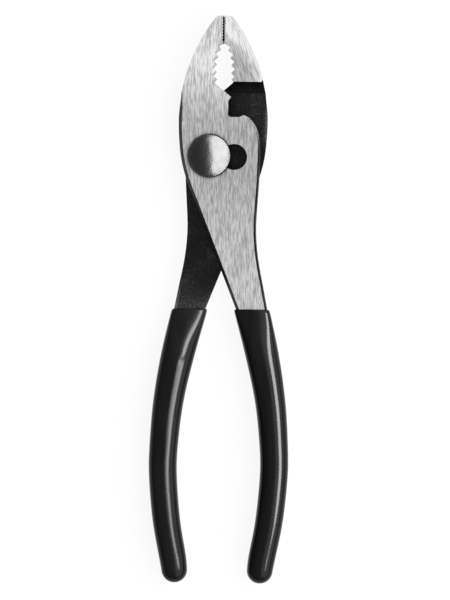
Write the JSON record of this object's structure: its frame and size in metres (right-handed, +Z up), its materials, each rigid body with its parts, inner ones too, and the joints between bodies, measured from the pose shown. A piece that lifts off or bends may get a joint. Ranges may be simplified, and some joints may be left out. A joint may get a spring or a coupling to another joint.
{
  "type": "slip joint pliers",
  "caption": "Slip joint pliers with crossed forged halves, a pipe grip, a wire notch, a sliding pivot bolt with two seats, and dipped vinyl handles.",
  "frame": {"origin": "middle of the tool's outline on the plane it lies on", "axes": "+X across the tool, +Y along it towards the jaw tips, +Z up through the ground faces on the side of the bolt's domed head"},
  "size_m": [0.0494, 0.2, 0.0155],
  "materials": {
    "forged_steel": "ground faces with fine lengthwise grain, black oxide elsewhere",
    "bolt_steel": "satin dome",
    "nut_steel": "black oxide",
    "vinyl": "glossy dipped vinyl"
  },
  "bodies": {
    "front": {"front_half": "forged_steel", "right_grip": "vinyl"},
    "pivot": {"pivot_bolt": "bolt_steel", "pivot_nut": "nut_steel"},
    "back": {"back_half": "forged_steel", "left_grip": "vinyl"}
  },
  "joints": [
    {"name": "slip", "type": "slide", "parent": "front", "child": "pivot", "axis": [0.9994, -0.0349, 0], "range_m": [0, 0.00875]},
    {"name": "jaw_hinge", "type": "hinge", "parent": "pivot", "child": "back", "pos_m": [-0.00477, 0.0506, 0.00745], "axis": [0, 0, -1], "range_deg": [0, 50]}
  ]
}
